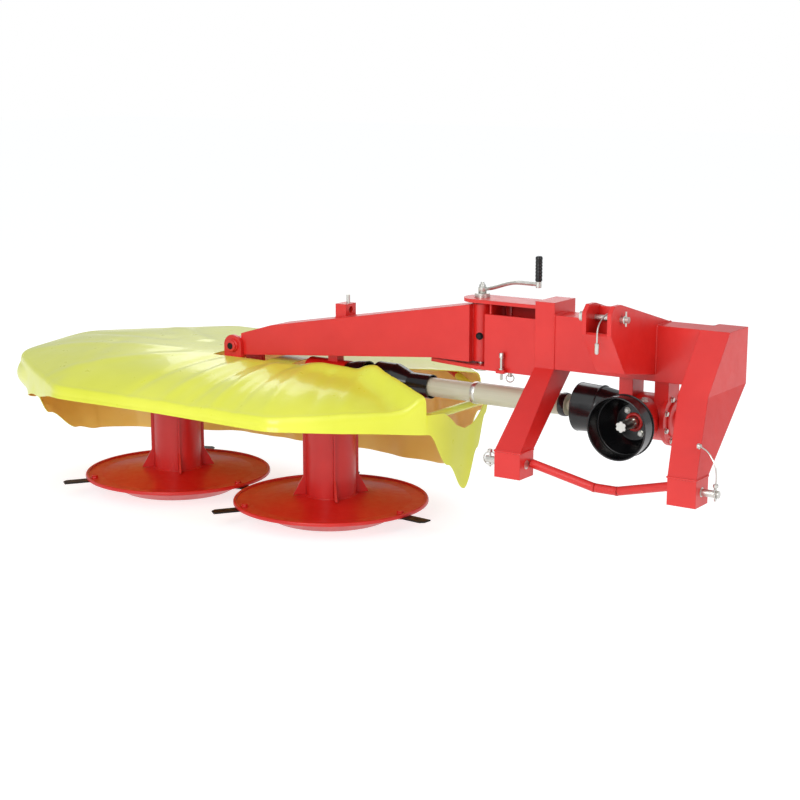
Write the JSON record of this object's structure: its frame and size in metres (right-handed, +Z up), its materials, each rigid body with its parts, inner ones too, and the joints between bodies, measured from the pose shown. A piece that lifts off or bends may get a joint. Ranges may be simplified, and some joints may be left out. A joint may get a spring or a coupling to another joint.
{
  "type": "drum mower",
  "caption": "Side-mounted mower: twin cutting drums with knives and slide dishes under a canvas cover, on a swinging arm from a three-point headstock with gearbox and drive shaft.",
  "frame": {"origin": "on the floor under the middle of the part's box", "axes": "+X from the cover's outer end towards the headstock, -Y the direction of travel, +Z up"},
  "size_m": [3.1184, 1.04, 1.0225],
  "materials": {
    "red_paint": "gloss red enamel",
    "zinc_steel": "zinc plated steel",
    "knife_steel": "black hardened steel",
    "black_plastic": "black moulded plastic",
    "guard_tube": "grey-beige guard tube",
    "cover_sheet": "glossy yellow coated sheet"
  },
  "bodies": {
    "hitch": {"hinge_head": "red_paint", "hinge_pin": "zinc_steel", "latch_lever": "zinc_steel", "lever_grip": "black_plastic", "lock_pin": "zinc_steel", "cross_beam": "red_paint", "leg_left": "red_paint", "leg_right": "red_paint", "lower_blocks": "red_paint", "lower_pins": "zinc_steel", "tie_rod": "red_paint", "top_clevis": "red_paint", "top_pin": "zinc_steel", "gearbox": "red_paint", "output_bell": "black_plastic", "input_bell": "black_plastic"},
    "arm_body": {"arm": "red_paint", "arm_tab": "red_paint", "arm_tab_pin": "zinc_steel"},
    "deck": {"gear_beam": "red_paint", "outer_cap": "red_paint", "input_housing": "red_paint", "housing_guard": "black_plastic", "arm_lugs": "red_paint", "pivot_pin": "zinc_steel", "drum_shafts": "zinc_steel", "cover_frame": "red_paint", "cover_arms": "red_paint", "cover": "cover_sheet"},
    "left_drum": {"drum_left": "red_paint", "disc_left": "red_paint", "knives_left": "knife_steel"},
    "right_drum": {"drum_right": "red_paint", "disc_right": "red_paint", "knives_right": "knife_steel"},
    "left_dish": {"dish_left": "red_paint"},
    "right_dish": {"dish_right": "red_paint"},
    "power_input": {"input_stub": "zinc_steel"},
    "shaft_joint": {"joint_cross": "zinc_steel"},
    "outer_shaft": {"outer_tube": "guard_tube"},
    "inner_shaft": {"inner_tube": "guard_tube", "shaft_cone": "black_plastic"}
  },
  "joints": [
    {"name": "arm_swing", "type": "hinge", "parent": "hitch", "child": "arm_body", "pos_m": [0.53075, -0.03, 0.75], "axis": [0, 0, -1], "range_deg": [0, 90]},
    {"name": "deck_tilt", "type": "hinge", "parent": "arm_body", "child": "deck", "pos_m": [-0.50925, -0.03, 0.613], "axis": [0, -1, 0], "range_deg": [-12, 0]},
    {"name": "left_drum_spin", "type": "hinge", "parent": "deck", "child": "left_drum", "pos_m": [-0.88425, 0, 0.38], "axis": [0, 0, 1], "continuous": true},
    {"name": "right_drum_spin", "type": "hinge", "parent": "deck", "child": "right_drum", "pos_m": [-0.13425, 0, 0.38], "axis": [0, 0, 1], "continuous": true},
    {"name": "left_dish_spin", "type": "hinge", "parent": "left_drum", "child": "left_dish", "pos_m": [-0.88425, 0, 0.04], "axis": [0, 0, 1], "continuous": true},
    {"name": "right_dish_spin", "type": "hinge", "parent": "right_drum", "child": "right_dish", "pos_m": [-0.13425, 0, 0.04], "axis": [0, 0, 1], "continuous": true},
    {"name": "input_spin", "type": "hinge", "parent": "hitch", "child": "power_input", "pos_m": [1.16375, -0.18, 0.54], "axis": [0, 1, 0], "continuous": true},
    {"name": "shaft_swing", "type": "hinge", "parent": "hitch", "child": "shaft_joint", "pos_m": [0.93075, -0.03, 0.54], "axis": [0, 0, -1], "range_deg": [0, 45]},
    {"name": "shaft_pitch", "type": "hinge", "parent": "shaft_joint", "child": "outer_shaft", "pos_m": [0.93075, -0.03, 0.54], "axis": [0, 1, 0], "range_deg": [-9.1, 0]},
    {"name": "shaft_slide", "type": "slide", "parent": "outer_shaft", "child": "inner_shaft", "axis": [1, 0, 0], "range_m": [0, 0.2345]}
  ],
  "couplings": [
    {"joint": "right_drum_spin", "follows": "left_drum_spin", "ratio": -1},
    {"joint": "input_spin", "follows": "left_drum_spin", "ratio": 0.3},
    {"joint": "shaft_swing", "follows": "arm_swing", "ratio": 0.5},
    {"joint": "shaft_slide", "follows": "arm_swing", "m_per_rad": 0.1491},
    {"joint": "shaft_pitch", "follows": "deck_tilt", "ratio": 0.755}
  ]
}
